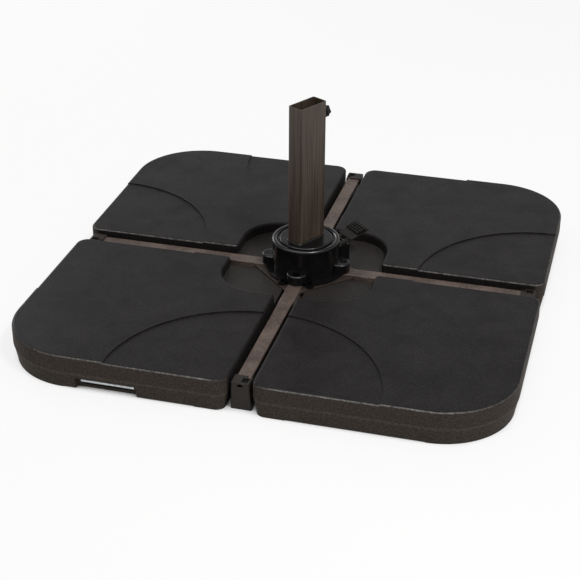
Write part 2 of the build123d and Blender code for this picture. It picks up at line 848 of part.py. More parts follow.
def clamp_knob():
    grip_start = knob_start + knob_neck
    grip_end = grip_start + knob_thickness
    body = bar_x(knob_radius * knob_collar_ratio, knob_start, grip_start + 1, 0, knob_height)
    body += bar_x(knob_radius * knob_body_ratio, grip_start, grip_end, 0, knob_height)
    lobe = bar_x(knob_radius * lobe_ratio, grip_start, grip_end, 0, 0)
    lobe = chamfer(lobe.edges().sort_by(Axis.X)[-1], lobe_bevel)
    for i in range(knob_lobes):
        angle = radians(360 / knob_lobes * i)
        reach = knob_radius * lobe_place_ratio
        body += Pos(0, reach * cos(angle), knob_height + reach * sin(angle)) * lobe
    body -= bar_x(stud_radius, knob_start - 1, grip_end - stud_tip, 0, knob_height)
    return turned(mast_angle, body)


def clamp_stud():
    start = wall_face - mast_wall + pin_gap
    end = knob_start + knob_neck + knob_thickness - stud_tip
    return turned(mast_angle, bar_x(stud_radius, start, end, 0, knob_height))


def clamp_nut():
    """Nut welded to the outside of the mast wall."""
    plane = Plane(origin=(wall_face, 0, knob_height), x_dir=(0, 1, 0), z_dir=(1, 0, 0))
    nut = extrude(plane * RegularPolygon(weld_nut_flats / 2, 6, major_radius=False), amount=weld_nut_height)
    nut -= bar_x(stud_radius + running_fit, 0, mast_depth, 0, knob_height)
    return turned(mast_angle, nut)


# ======================= write the pieces =======================

save("cross_beam", cross_tube(-tube_end, tube_end))
save("arm_front", turned(-90, cross_tube(arm_start, tube_end)))
save("arm_back", turned(90, cross_tube(arm_start, tube_end)))
save("gusset_plates", gussets())
for side_name, angle in (("right", 0), ("back", 90), ("left", 180), ("front", 270)):
    save("end_cap_" + side_name, turned(angle, end_cap()))

shell_shape = plate_shell()
core_shape = core_form(core_gap)
for corner_name, angle in (("back_right", 0), ("back_left", 90), ("front_left", 180), ("front_right", 270)):
    save("plate_shell_" + corner_name, turned(angle, shell_shape))
    save("plate_core_" + corner_name, turned(angle, core_shape))
    save("plate_plug_" + corner_name, turned(angle, plate_plug()))
    save("plate_handle_" + corner_name, turned(angle, plate_handle()))

save("hub_housing", hub_housing())
save("housing_bolts", housing_bolts())
save("housing_nuts", housing_nuts())
save("saddle_bolts", saddle_bolts())

save("spindle", spindle())
save("turntable", turntable())
save("detent_ring", detent_ring())
save("detent_screws", detent_screws())
save("thrust_washer", thrust_washer())
save("lower_bush", flanged_bush(washer_top, drum_floor - lower_bush_end, washer_top))
save("upper_bush", flanged_bush(drum_floor - upper_bush_end, socket_floor, socket_floor - bush_flange / 2))
save("spindle_washer", spindle_washer())
save("spindle_nut", spindle_nut())
save("mast_tube", mast_tube())
save("mast_bolts", mast_bolts())
save("mast_nuts", mast_nuts())

save("lock_pin", lock_pin())
save("lock_peg", lock_peg())
save("lock_spring", lock_spring())
save("pedal", pedal())
save("pedal_tread", pedal_tread())
save("pedal_pin", pedal_pin())

save("clamp_knob", clamp_knob())
save("clamp_stud", clamp_stud())
save("clamp_nut", clamp_nut())
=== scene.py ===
"""Looks of a four-plate parasol base: finishes, small fittings, floor, lights and camera."""

import math

import bmesh
import bpy
from mathutils import Matrix, Vector


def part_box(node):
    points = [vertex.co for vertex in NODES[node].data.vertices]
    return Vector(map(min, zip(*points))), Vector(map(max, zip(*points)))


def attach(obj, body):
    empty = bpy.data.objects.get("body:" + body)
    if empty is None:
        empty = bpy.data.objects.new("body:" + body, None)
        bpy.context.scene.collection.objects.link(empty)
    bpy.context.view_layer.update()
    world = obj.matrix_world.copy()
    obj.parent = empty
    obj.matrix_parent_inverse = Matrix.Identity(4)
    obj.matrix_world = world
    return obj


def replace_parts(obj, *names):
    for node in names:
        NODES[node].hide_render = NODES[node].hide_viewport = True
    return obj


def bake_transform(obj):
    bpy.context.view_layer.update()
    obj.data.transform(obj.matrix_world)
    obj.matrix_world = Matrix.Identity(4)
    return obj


bl_info = {
    "name": "Parasol base",
    "version": (1, 0, 0),
    "blender": (4, 5, 0),
    "location": "3D View > Sidebar > Parasol base",
    "description": "Finishes and stages a swivel parasol base with four weight plates",
    "category": "Object",
}

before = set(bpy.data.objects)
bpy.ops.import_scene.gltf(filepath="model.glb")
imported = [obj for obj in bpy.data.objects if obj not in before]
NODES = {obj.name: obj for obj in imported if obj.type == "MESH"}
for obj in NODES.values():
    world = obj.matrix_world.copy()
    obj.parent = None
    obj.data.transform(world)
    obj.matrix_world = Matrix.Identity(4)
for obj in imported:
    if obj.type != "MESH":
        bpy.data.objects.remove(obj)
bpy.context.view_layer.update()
CORNERS = ("front_left", "front_right", "back_left", "back_right")
SIDES = ("front", "back", "left", "right")
TURNS = [math.tau * i / 240 for i in range(240)]
MAST_SIDES = (0.074, 0.036)
MAST_CORNER = 0.0035
MAST_ANGLE = math.radians(61)
BEAD_WIDTH = 0.0106
BEAD_RADIUS = 0.071          # the bead's outside
COVER_RADIUS = 0.056
COVER_BEND = 0.003
COVER_RISE = 0.005
COLLAR_WIDTH = 0.003
COLLAR_HEIGHT = 0.0021
TREAD_LIP = 0.0065           # the lever shows past the pad by this much
TREAD_BASE = 0.0016
TREAD_EDGE = 0.0012
STUD_GRID = (4, 5)
STUD_GAP = 0.0024
WELL_SIZE = (0.015, 0.0125)
WELL_DEPTH = 0.0025
WELL_BACK = 0.0125           # its middle, behind the cap's face
WELL_ASIDE = 0.0075
SLOT_SIZE = (0.018, 0.0095, 0.0066)
SLOT_DOWN = 0.0063           # its middle, below the cap's top
PLASTIC_IOR = 1.5
NOISE_LOW, NOISE_HIGH = 0.3, 0.7     # the span of a noise's values that is used
POCKET_TONE_BELOW = (0.058, 0.054)          # heights between which the paler tone comes in
SKIRT_BELOW = (0.0375, 0.0345)       # heights between which the wall turns into the skirt
LEDGE_HEIGHT = 0.0345
LEDGE_HALF = 0.0032
CORNER_CENTRE = 0.35                 # x and y of the middle of a plate's outer corner
OUTER_FROM = (0.128, 0.136)          # from that middle to where the outer wall begins
CLEAR_OF_TUBES = (0.035, 0.07)       # from a tube's axis
LEFT_FADE = (-0.46, -0.15)           # x
END_FADE = (0.46, 0.36)              # x, on both sides
BESIDE_TUBES = (0.06, 0.045)         # from the left and right tubes' axis
HUB_SHADE = (0.16, 0.08)              # from the hub's axis
WALL_SHADE = (0.15, 0.17)             # from the hub's axis
COAT_PATCH = 0.045                   # width of one patch of sheen
PLASTIC_PATCH = 0.025
LINE_SCALE = (560, 560, 5)           # per metre: lines 1.8 mm wide and 200 mm long
PAPER_SCALE = 300                    # per metre: flecks 3.3 mm wide
FLOOR_REACH = 60.0
FLOOR_SHADE = 0.12                   # how far off an object still shades the floor
LAMPS = {                            # place, aim and sides
    "key_softbox": ((1.7, -1.62, 3.4), (0, 0, 0), (0.7, 0.4)),
    "rear_softbox": ((-3.0, 2.45, 1.3), (-0.2, 0.2, 0), (1.6, 0.8)),
}
CAMERA_ANGLES = (14.871, 28.964, 0.354)      # azimuth, elevation and roll in degrees
CAMERA_AIM = (-0.031171, -0.010736, 0)
CAMERA_DISTANCE = 3.12533
CAMERA_LENS = 90.765


def linear(code):
    """An sRGB hex colour as linear red, green, blue and alpha."""
    parts = [int(code[i:i + 2], 16) / 255 for i in (1, 3, 5)]
    return [p / 12.92 if p <= 0.04045 else ((p + 0.055) / 1.055) ** 2.4 for p in parts] + [1.0]


def scaled(tone, factor):
    """A lighter or darker tone of a colour."""
    return [min(1.0, part * factor) for part in tone[:3]] + [1.0]


def colour(name, code, description):
    """A colour property that starts from an sRGB hex value."""
    return bpy.props.FloatVectorProperty(
        name=name, description=description, subtype="COLOR", size=4, min=0, max=1,
        default=linear(code))


def length(name, millimetres, description):
    """A length property that starts from a size in millimetres."""
    return bpy.props.FloatProperty(
        name=name, description=description, unit="LENGTH", min=0, default=millimetres / 1000)


class PlateFinish(bpy.types.PropertyGroup):
    light: colour("Plate light", "#292728", "Paler clouds of the moulded plates")
    dark: colour("Plate dark", "#1d1b1c", "Darker clouds of the moulded plates")
    # The wall tones are paler and warmer than the tops, partly as painted light.
    wall: colour("Plate wall", "#36302c", "Upper wall of the plates, free of dust")
    skirt: colour("Plate skirt", "#38322d", "Rougher lower wall of the plates")
    # Painted highlight on the ledge of the parting line.
    seam: colour("Plate seam", "#423c36", "Paler ledge of the parting line")
    # Painted shade for the walls beside the tubes and round the hub.
    inner: colour("Plate inner wall", "#1a1817", "Walls beside the tubes and round the hub")
    # A paler tone low in the pockets.
    pocket_tone: colour("Pocket dust", "#3b3732", "Dust that lies in the pockets round the hub")
    # Painted highlight: a pale line along the rounded top edges.
    edge_highlight: colour("Plate edge", "#706e6b", "Pale line along the rounded top edges")
    grain: length("Pebble grain", 3.6, "Width of one pebble of the moulded grain")
    cloud: length("Cloud", 70, "Width of one cloudy flow mark")


class MetalFinish(bpy.types.PropertyGroup):
    arm: colour("Arm", "#453933", "Powder coat on the cross tubes and gussets")
    arm_pale: colour("Arm pale", "#6b5d55", "Paler patches of the powder coat")
    # Painted shade for the steel close round the hub and on the tubes' upright walls.
    hub_shade: colour("Grime", "#1b1613", "Dirt on the steel close round the hub")
    mast: colour("Mast", "#2e251c", "Lacquer on the mast")
    mast_line: colour("Mast line", "#4f433a", "Drawn lines along the mast")
    hub: colour("Hub", "#0b0b0b", "Gloss enamel on the hub")
    zinc: colour("Zinc", "#cccfd1", "Zinc plate on handles, bolts and pins")
    zinc_dull: colour("Zinc dull", "#a9acaf", "Dulled patches of the zinc plate")
    black: colour("Blackened steel", "#131212", "Oxide-black bolts of the hub")
    bronze: colour("Bush bronze", "#8c6a3a", "Sintered bronze of the bushes")
    peel: length("Orange peel", 2.2, "Width of one dimple of the sprayed coats")
    spangle: length("Zinc grain", 1.5, "Width of one grain of the zinc plate")


class TrimFinish(bpy.types.PropertyGroup):
    cap: colour("End cap", "#2a2623", "Moulded caps of the cross tubes")
    pedal: colour("Pedal", "#211f1d", "Glass-filled nylon of the pedal and knob")
    # Painted shade and light in the tread: the pad between the studs is near-black, the studs
    # paler, partly as scuffed tops.
    tread: colour("Tread", "#090908", "Rubber pad of the pedal")
    stud: colour("Tread stud", "#222221", "Scuffed tops of the pedal's rubber studs")
    # Painted shade: the near-black cut faces of the wells and slots in the end caps.
    well_shade: colour("Cap well", "#0a0a0b", "Catch wells in the tops of the end caps")
    washer: colour("Washer", "#d9d7cf", "Acetal of the thrust washers")
    concrete: colour("Concrete", "#7d7a74", "Cast filling of the plates")
    fibre: length("Fibre fleck", 0.9, "Width of a fleck in filled plastics")


class StageSetup(bpy.types.PropertyGroup):
    floor: colour("Floor", "#f4f4f3", "Paper of the studio floor")
    room: bpy.props.FloatProperty(
        name="Room light", description="Strength of the light from all round", min=0, default=0.52)
    ceiling: bpy.props.FloatProperty(
        name="Ceiling", description="Strength of the ceiling in reflections", min=0, default=0.4)
    overhead: bpy.props.FloatProperty(
        name="Overhead", description="Strength of the overhead softbox in reflections", min=0,
        default=4.0)
    key: bpy.props.FloatProperty(
        name="Key light", description="Power of the softbox at the front right", unit="POWER",
        min=0, default=76)
    rim: bpy.props.FloatProperty(
        name="Rim light", description="Power of the low softbox behind", unit="POWER",
        min=0, default=25)


def add(tree, kind, inputs=None, **settings):
    """Adds a node, sets its properties, and gives each input a plain value or another's output."""
    node = tree.nodes.new(kind)
    for name, value in settings.items():
        setattr(node, name, value)
    for key, value in (inputs or {}).items():
        if isinstance(value, bpy.types.NodeSocket):
            tree.links.new(value, node.inputs[key])
        else:
            node.inputs[key].default_value = value
    return node


def begin(name):
    """Starts a material and gives its shader, its tree and the mesh's own coordinates."""
    made = bpy.data.materials.new(name)
    made.use_nodes = True
    tree = made.node_tree
    tree.nodes.clear()
    shader = add(tree, "ShaderNodeBsdfPrincipled")
    add(tree, "ShaderNodeOutputMaterial", {"Surface": shader.outputs[0]})
    return made, tree, shader, add(tree, "ShaderNodeTexCoord").outputs["Object"]


def moulded_polyethylene(finish):
    # Polyethylene moulded in a spark-eroded tool: satin pebble grain, cloudy flow marks from the
    # melt, a paler tone low in the pockets, painted shade on the inner walls, walls paler and
    # warmer than the tops (partly painted light), and a painted highlight as a pale broken line
    # along the rounded top edges. The real pebbles are under 1 mm and are drawn coarser so that
    # they show.
    made, tree, shader, where = begin("moulded_polyethylene")
    clouds = add(tree, "ShaderNodeTexNoise", {
        "Vector": where, "Scale": 1 / finish.cloud, "Detail": 6, "Roughness": 0.62,
        "Distortion": 0.4})
    pebbles = add(tree, "ShaderNodeTexNoise", {
        "Vector": where, "Scale": 1 / finish.grain, "Detail": 2, "Roughness": 0.5})
    speckle = add(tree, "ShaderNodeMapRange", {
        "Value": pebbles.outputs[0], "From Min": NOISE_LOW, "From Max": NOISE_HIGH, "To Min": 0.62,
        "To Max": 1.38})
    spread = add(tree, "ShaderNodeMapRange", {
        "Value": clouds.outputs[0], "From Min": NOISE_LOW, "From Max": NOISE_HIGH})
    top = add(tree, "ShaderNodeMix", {
        0: spread.outputs[0], 6: finish.dark, 7: finish.light}, data_type="RGBA")
    height = add(tree, "ShaderNodeSeparateXYZ", {0: where}).outputs[2]
    sunk = add(tree, "ShaderNodeMapRange", {
        "Value": height, "From Min": POCKET_TONE_BELOW[0], "From Max": POCKET_TONE_BELOW[1],
        "To Max": 0.35})
    top = add(tree, "ShaderNodeMix", {
        0: sunk.outputs[0], 6: top.outputs[2], 7: finish.pocket_tone}, data_type="RGBA")
    below = add(tree, "ShaderNodeMapRange", {
        "Value": height, "From Min": SKIRT_BELOW[0], "From Max": SKIRT_BELOW[1]})
    side = add(tree, "ShaderNodeMix", {
        0: below.outputs[0], 6: finish.wall, 7: finish.skirt}, data_type="RGBA")
    # A paler band on the ledge of the parting line is a painted highlight.
    ledge = add(tree, "ShaderNodeMath", {0: height, 1: LEDGE_HEIGHT, 2: LEDGE_HALF},
                operation="COMPARE")
    side = add(tree, "ShaderNodeMix", {
        0: ledge.outputs[0], 6: side.outputs[2], 7: finish.seam}, data_type="RGBA")
    across = add(tree, "ShaderNodeVectorMath", {0: where}, operation="ABSOLUTE")
    corner = add(tree, "ShaderNodeVectorMath", {
        0: across.outputs[0], 1: (CORNER_CENTRE, CORNER_CENTRE, 0)}, operation="SUBTRACT")
    corner = add(tree, "ShaderNodeVectorMath", {0: corner.outputs[0], 1: (0, 0, 0)},
                 operation="MAXIMUM")
    corner = add(tree, "ShaderNodeVectorMath", {0: corner.outputs[0], 1: (1, 1, 0)},
                 operation="MULTIPLY")
    bend = add(tree, "ShaderNodeVectorMath", {0: corner.outputs[0]}, operation="LENGTH")
    outer = add(tree, "ShaderNodeMapRange", {
        "Value": bend.outputs["Value"], "From Min": OUTER_FROM[0],
        "From Max": OUTER_FROM[1]})
    # Painted shade: the walls beside the tubes and round the hub take the darker inner tone.
    side = add(tree, "ShaderNodeMix", {
        0: outer.outputs[0], 6: finish.inner, 7: side.outputs[2]}, data_type="RGBA")
    normal = add(tree, "ShaderNodeSeparateXYZ", {
        0: add(tree, "ShaderNodeNewGeometry").outputs["Normal"]})
    facing = normal.outputs[2]
    # By facing, the walls take a paler, warmer tone than the tops, partly the plastic's own look
    # and partly painted light; on the inner edges the darker inner tone reaches further up as
    # painted shade.
    turn = add(tree, "ShaderNodeMapRange", {
        "Value": outer.outputs[0], "To Min": 0.8, "To Max": 0.35})
    upward = add(tree, "ShaderNodeMapRange", {
        "Value": facing, "From Min": turn.outputs[0], "From Max": 0.97})
    skin = add(tree, "ShaderNodeMix", {
        0: upward.outputs[0], 6: side.outputs[2], 7: top.outputs[2]}, data_type="RGBA")
    # Painted highlight: a pale broken line on the rounded top edges, where they face half up.
    rise = add(tree, "ShaderNodeMapRange", {
        "Value": facing, "From Min": 0.36, "From Max": 0.56}, interpolation_type="SMOOTHSTEP")
    fall = add(tree, "ShaderNodeMapRange", {
        "Value": facing, "From Min": 0.93, "From Max": 0.8}, interpolation_type="SMOOTHSTEP")
    edge = add(tree, "ShaderNodeMath", {0: rise.outputs[0], 1: fall.outputs[0]},
               operation="MULTIPLY")
    highlight_noise = add(tree, "ShaderNodeTexNoise", {
        "Vector": where, "Scale": 1 / (finish.grain * 2.5), "Detail": 3, "Roughness": 0.6})
    highlight_breaks = add(tree, "ShaderNodeMapRange", {
        "Value": highlight_noise.outputs[0], "From Min": 0.32, "From Max": 0.62, "To Min": 0.3})
    edge_highlight_mask = add(tree, "ShaderNodeMath", {0: edge.outputs[0], 1: highlight_breaks.outputs[0]},
              operation="MULTIPLY")
    place = add(tree, "ShaderNodeSeparateXYZ", {0: across.outputs[0]})
    nearest = add(tree, "ShaderNodeMath", {0: place.outputs[0], 1: place.outputs[1]},
                  operation="MINIMUM")
    apart = add(tree, "ShaderNodeMapRange", {
        "Value": nearest.outputs[0], "From Min": CLEAR_OF_TUBES[0],
        "From Max": CLEAR_OF_TUBES[1]})
    spared = add(tree, "ShaderNodeMath", {0: outer.outputs[0], 1: apart.outputs[0]},
                 operation="MULTIPLY")
    # The painted highlight line fades out towards the tubes, and part of the way towards the left
    # and the ends.
    faded = add(tree, "ShaderNodeMapRange", {
        "Value": add(tree, "ShaderNodeSeparateXYZ", {0: where}).outputs[0],
        "From Min": LEFT_FADE[0], "From Max": LEFT_FADE[1], "To Min": 0.35})
    ends = add(tree, "ShaderNodeMapRange", {
        "Value": place.outputs[0], "From Min": END_FADE[0], "From Max": END_FADE[1],
        "To Min": 0.35})
    faded = add(tree, "ShaderNodeMath", {0: faded.outputs[0], 1: ends.outputs[0]},
                operation="MULTIPLY")
    spared = add(tree, "ShaderNodeMath", {0: spared.outputs[0], 1: faded.outputs[0]},
                 operation="MULTIPLY")
    # The painted highlight also runs along the front-facing edges beside the left and right tubes.
    beside = add(tree, "ShaderNodeMapRange", {
        "Value": place.outputs[1], "From Min": BESIDE_TUBES[0],
        "From Max": BESIDE_TUBES[1]})
    toward = add(tree, "ShaderNodeMapRange", {
        "Value": normal.outputs[1], "From Min": -0.25, "From Max": -0.5, "To Max": 0.8})
    inward = add(tree, "ShaderNodeMath", {0: beside.outputs[0], 1: toward.outputs[0]},
                 operation="MULTIPLY")
    reach = add(tree, "ShaderNodeMath", {0: spared.outputs[0], 1: inward.outputs[0]},
                operation="MAXIMUM")
    edge_highlight_mask = add(tree, "ShaderNodeMath", {0: edge_highlight_mask.outputs[0], 1: reach.outputs[0]},
              operation="MULTIPLY")
    skin = add(tree, "ShaderNodeMix", {
        0: edge_highlight_mask.outputs[0], 6: skin.outputs[2], 7: finish.edge_highlight}, data_type="RGBA")
    skin = add(tree, "ShaderNodeHueSaturation", {
        "Color": skin.outputs[2], "Value": speckle.outputs[0]})
    sheen = add(tree, "ShaderNodeMapRange", {
        "Value": clouds.outputs[0], "From Min": NOISE_LOW, "From Max": NOISE_HIGH, "To Min": 0.42,
        "To Max": 0.34})
    sheen = add(tree, "ShaderNodeMapRange", {
        "Value": upward.outputs[0], "To Min": 0.65, "To Max": sheen.outputs[0]})
    relief = add(tree, "ShaderNodeBump", {
        "Strength": 0.6, "Distance": 0.0005, "Height": pebbles.outputs[0]})
    tree.links.new(skin.outputs[0], shader.inputs["Base Color"])
    tree.links.new(sheen.outputs[0], shader.inputs["Roughness"])
    tree.links.new(relief.outputs[0], shader.inputs["Normal"])
    shader.inputs["IOR"].default_value = PLASTIC_IOR
    shader.inputs["Specular IOR Level"].default_value = 0.07
    return made


def sprayed_coat(name, base, second, peel, roughness, level, depth=0.00012, hub_shade=None,
                 share=0.0):
    # Sprayed and baked coat on steel: shallow orange peel breaks the highlights, the film varies
    # a little in tone, and painted shade darkens it close round the hub.
    made, tree, shader, where = begin(name)
    patches = add(tree, "ShaderNodeTexNoise", {
        "Vector": where, "Scale": 1 / COAT_PATCH, "Detail": 5, "Roughness": 0.6})
    dimples = add(tree, "ShaderNodeTexNoise", {
        "Vector": where, "Scale": 1 / peel, "Detail": 1, "Roughness": 0.4})
    specks = add(tree, "ShaderNodeTexNoise", {
        "Vector": where, "Scale": 1 / (peel * 1.6), "Detail": 2, "Roughness": 0.6})
    mottle = add(tree, "ShaderNodeMath", {0: patches.outputs[0], 1: specks.outputs[0]},
                 operation="ADD")
    spread = add(tree, "ShaderNodeMapRange", {
        "Value": mottle.outputs[0], "From Min": 0.78, "From Max": 1.22})
    film = add(tree, "ShaderNodeMix", {0: spread.outputs[0], 6: base, 7: second},
               data_type="RGBA")
    if hub_shade:
        flat = add(tree, "ShaderNodeVectorMath", {0: where, 1: (1, 1, 0)}, operation="MULTIPLY")
        away = add(tree, "ShaderNodeVectorMath", {0: flat.outputs[0]}, operation="LENGTH")
        near = add(tree, "ShaderNodeMapRange", {
            "Value": away.outputs["Value"], "From Min": HUB_SHADE[0],
            "From Max": HUB_SHADE[1], "To Max": share}, interpolation_type="SMOOTHSTEP")
        # Further out, painted shade darkens the tubes on their upright walls.
        channel = add(tree, "ShaderNodeMapRange", {
            "Value": away.outputs["Value"], "From Min": WALL_SHADE[0],
            "From Max": WALL_SHADE[1]})
        upright = add(tree, "ShaderNodeMapRange", {
            "Value": add(tree, "ShaderNodeSeparateXYZ", {
                0: add(tree, "ShaderNodeNewGeometry").outputs["Normal"]}).outputs[2],
            "From Min": 0.9, "From Max": 0.6})
        hidden = add(tree, "ShaderNodeMath", {0: channel.outputs[0], 1: upright.outputs[0]},
                     operation="MULTIPLY")
        painted_shade = add(tree, "ShaderNodeMath", {0: near.outputs[0], 1: hidden.outputs[0]},
                   operation="MAXIMUM")
        film = add(tree, "ShaderNodeMix", {
            0: painted_shade.outputs[0], 6: film.outputs[2], 7: hub_shade}, data_type="RGBA")
    gloss = add(tree, "ShaderNodeMapRange", {
        "Value": patches.outputs[0], "From Min": NOISE_LOW, "From Max": NOISE_HIGH,
        "To Min": roughness - 0.04, "To Max": roughness + 0.05})
    relief = add(tree, "ShaderNodeBump", {
        "Strength": 0.3, "Distance": depth, "Height": dimples.outputs[0]})
    tree.links.new(film.outputs[2], shader.inputs["Base Color"])
    tree.links.new(gloss.outputs[0], shader.inputs["Roughness"])
    tree.links.new(relief.outputs[0], shader.inputs["Normal"])
    shader.inputs["IOR"].default_value = PLASTIC_IOR
    shader.inputs["Specular IOR Level"].default_value = level
    return made


def lacquered_tube(finish):
    # Drawn steel tube under a bronze lacquer: fine lines run its length and show as faint
    # stripes, drawn about 2 mm wide so that they show.
    made, tree, shader, where = begin("bronze_lacquered_steel")
    stretched = add(tree, "ShaderNodeMapping", {"Vector": where, "Scale": LINE_SCALE})
    lines = add(tree, "ShaderNodeTexNoise", {
        "Vector": stretched.outputs[0], "Scale": 1, "Detail": 3, "Roughness": 0.6})
    spread = add(tree, "ShaderNodeMapRange", {
        "Value": lines.outputs[0], "From Min": 0.4, "From Max": 0.6})
    film = add(tree, "ShaderNodeMix", {
        0: spread.outputs[0], 6: finish.mast, 7: finish.mast_line}, data_type="RGBA")
    gloss = add(tree, "ShaderNodeMapRange", {
        "Value": lines.outputs[0], "From Min": NOISE_LOW, "From Max": NOISE_HIGH, "To Min": 0.3,
        "To Max": 0.4})
    relief = add(tree, "ShaderNodeBump", {
        "Strength": 0.25, "Distance": 0.0001, "Height": lines.outputs[0]})
    tree.links.new(film.outputs[2], shader.inputs["Base Color"])
    tree.links.new(gloss.outputs[0], shader.inputs["Roughness"])
    tree.links.new(relief.outputs[0], shader.inputs["Normal"])
    shader.inputs["IOR"].default_value = PLASTIC_IOR
    shader.inputs["Specular IOR Level"].default_value = 0.3
    return made


def plated_metal(name, bright, dull, grain, roughness):
    # Zinc plate or bare bronze: a metal whose fine crystals scatter the reflection, dulled in
    # soft patches by handling and damp.
    made, tree, shader, where = begin(name)
    patches = add(tree, "ShaderNodeTexNoise", {
        "Vector": where, "Scale": 1 / (grain * 9), "Detail": 5, "Roughness": 0.65})
    crystals = add(tree, "ShaderNodeTexVoronoi", {"Vector": where, "Scale": 1 / grain})
    spread = add(tree, "ShaderNodeMapRange", {
        "Value": patches.outputs[0], "From Min": 0.38, "From Max": 0.66})
    plate = add(tree, "ShaderNodeMix", {0: spread.outputs[0], 6: bright, 7: dull},
                data_type="RGBA")
    gloss = add(tree, "ShaderNodeMapRange", {
        "Value": patches.outputs[0], "From Min": NOISE_LOW, "From Max": NOISE_HIGH,
        "To Min": roughness - 0.06, "To Max": roughness + 0.1})
    relief = add(tree, "ShaderNodeBump", {
        "Strength": 0.12, "Distance": 0.0001, "Height": crystals.outputs[0]})
    tree.links.new(plate.outputs[2], shader.inputs["Base Color"])
    tree.links.new(gloss.outputs[0], shader.inputs["Roughness"])
    tree.links.new(relief.outputs[0], shader.inputs["Normal"])
    shader.inputs["Metallic"].default_value = 1.0
    return made


def filled_plastic(name, base, fleck, roughness, level, lighten=1.35):
    # Filled plastic or rubber from a tool with a dull grain: small paler flecks and a soft,
    # uneven sheen.
    made, tree, shader, where = begin(name)
    flecks = add(tree, "ShaderNodeTexNoise", {
        "Vector": where, "Scale": 1 / fleck, "Detail": 3, "Roughness": 0.65})
    spread = add(tree, "ShaderNodeMapRange", {
        "Value": flecks.outputs[0], "From Min": 0.35, "From Max": 0.7})
    body = add(tree, "ShaderNodeMix", {
        0: spread.outputs[0], 6: base, 7: scaled(base, lighten)}, data_type="RGBA")
    patches = add(tree, "ShaderNodeTexNoise", {
        "Vector": where, "Scale": 1 / PLASTIC_PATCH, "Detail": 3, "Roughness": 0.6})
    gloss = add(tree, "ShaderNodeMapRange", {
        "Value": patches.outputs[0], "From Min": NOISE_LOW, "From Max": NOISE_HIGH,
        "To Min": roughness - 0.05, "To Max": roughness + 0.08})
    relief = add(tree, "ShaderNodeBump", {
        "Strength": 0.3, "Distance": 0.0002, "Height": flecks.outputs[0]})
    tree.links.new(body.outputs[2], shader.inputs["Base Color"])
    tree.links.new(gloss.outputs[0], shader.inputs["Roughness"])
    tree.links.new(relief.outputs[0], shader.inputs["Normal"])
    shader.inputs["IOR"].default_value = PLASTIC_IOR
    shader.inputs["Specular IOR Level"].default_value = level
    return made


def coat(made, *names):
    """Gives a finish to CAD nodes by their material slots."""
    for name in names:
        node = NODES[name]
        if not node.material_slots:
            node.data.materials.append(made)
        for slot in node.material_slots:
            slot.material = made


def put(name, data):
    """An object in the scene, with a mesh, a lamp or a camera."""
    thing = bpy.data.objects.new(name, data)
    bpy.context.scene.collection.objects.link(thing)
    return thing


def dress(name, built, made, body):
    """Makes a piece from a bmesh, with its finish, that rides on a CAD body."""
    bmesh.ops.recalc_face_normals(built, faces=built.faces)
    mesh = bpy.data.meshes.new(name)
    built.to_mesh(mesh)
    built.free()
    mesh.materials.append(made)
    mesh.shade_smooth()
    mesh.set_sharp_from_angle(angle=math.radians(40))
    piece = put(name, mesh)
    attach(piece, body)
    return piece


def circle(radius):
    """Points round the hub's axis."""
    return [(radius * math.cos(turn), radius * math.sin(turn)) for turn in TURNS]


def mast_outline(offset):
    """Points round the mast, offset outwards, each in line with one of the circle's."""
    corner = MAST_CORNER + offset
    across, deep = (side / 2 + offset for side in MAST_SIDES)
    points = []
    for turn in TURNS:
        x, y = (abs(f(turn - MAST_ANGLE)) for f in (math.cos, math.sin))
        along = x * (across - corner) + y * (deep - corner)
        if y * across <= (deep - corner) * x:
            reach = across / x
        elif x * deep <= (across - corner) * y:
            reach = deep / y
        else:
            inside = (across - corner) ** 2 + (deep - corner) ** 2 - corner ** 2
            reach = along + math.sqrt(along ** 2 - inside)
        points.append((reach * math.cos(turn), reach * math.sin(turn)))
    return points


def closed_ring(section):
    """A ring whose section runs through loops of points at given heights and closes."""
    built = bmesh.new()
    rows = [[built.verts.new((x, y, z)) for x, y in loop] for loop, z in section]
    for low, high in zip(rows, rows[1:] + rows[:1]):
        for i in range(len(low)):
            built.faces.new((low[i - 1], low[i], high[i], high[i - 1]))
    return built


def rounded(radius, height, bend, start, end, steps=8):
    """Circles along a rounded edge, between two angles of its bend in degrees."""
    angles = (math.radians(start + (end - start) * i / steps) for i in range(steps + 1))
    return [(circle(radius + bend * math.cos(a)), height + bend * math.sin(a)) for a in angles]


def hub_bead(made):
    """Broad round bead on the housing's rim."""
    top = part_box("hub_housing")[1][2]
    bend = BEAD_WIDTH / 2
    section = rounded(BEAD_RADIUS - bend, top - bend + 0.0002, bend, 0, 360, 40)[:-1]
    return dress("hub_rim_bead", closed_ring(section), made, "base")


def turntable_cover(made):
    """Pressed cover of the turntable, round the mast and rounded down into the rim."""
    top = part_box("turntable")[1][2] + COVER_RISE
    low = top - COVER_RISE - 0.001
    edge = rounded(COVER_RADIUS - COVER_BEND, top - COVER_BEND, COVER_BEND, 0, 90)
    section = [(mast_outline(0.0003), low), (circle(COVER_RADIUS), low), *edge,
               (circle(COVER_RADIUS * 0.9), top), (mast_outline(0.0003), top)]
    return dress("turntable_cover", closed_ring(section), made, "swivel")


def mast_collar(made):
    """Low moulded collar that seals the mast to the turntable."""
    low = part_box("turntable")[1][2] + COVER_RISE - 0.0005
    top = low + COLLAR_HEIGHT
    section = [(mast_outline(0.0002), low), (mast_outline(COLLAR_WIDTH), low),
               (mast_outline(COLLAR_WIDTH - 0.0003), top - 0.0012),
               (mast_outline(COLLAR_WIDTH - 0.0007), top - 0.0004),
               (mast_outline(COLLAR_WIDTH - 0.0014), top), (mast_outline(0.0002), top)]
    return dress("mast_collar", closed_ring(section), made, "swivel")


